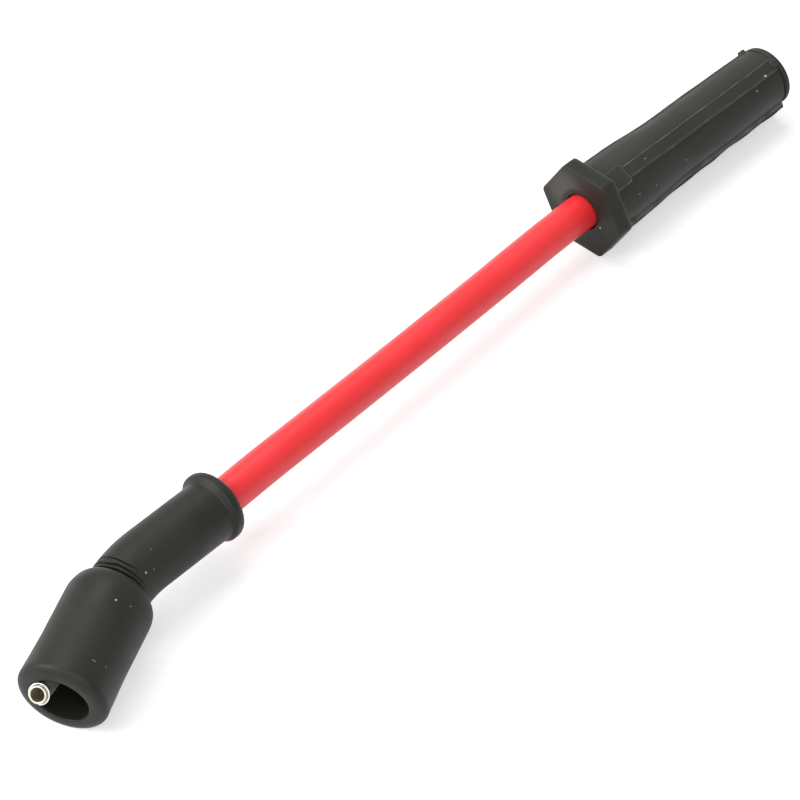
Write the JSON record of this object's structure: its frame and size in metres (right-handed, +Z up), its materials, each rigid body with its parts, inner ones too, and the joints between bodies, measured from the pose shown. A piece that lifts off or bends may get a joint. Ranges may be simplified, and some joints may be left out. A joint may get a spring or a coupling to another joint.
{
  "type": "spark plug wire",
  "caption": "Short, thick silicone ignition lead with a straight ribbed plug boot, a bent coil boot with a wide cup, and crimped metal terminals inside both.",
  "frame": {"origin": "bottom centre of the two boots, on the surface that the lead lies on", "axes": "+X along the lead from the coil boot to the plug boot, +Z up"},
  "size_m": [0.3024, 0.0484, 0.0264],
  "materials": {
    "boot_rubber": "moulded matte with a soft sheen",
    "red_silicone": "smooth satin",
    "plated_metal": "bright plated sheet",
    "spring_steel": "bright drawn wire"
  },
  "bodies": {
    "root": {"plug_boot": "boot_rubber", "coil_boot": "boot_rubber", "ignition_wire": "red_silicone", "plug_terminal": "plated_metal", "coil_terminal": "plated_metal", "plug_terminal_spring": "spring_steel", "coil_terminal_spring": "spring_steel"}
  },
  "joints": []
}
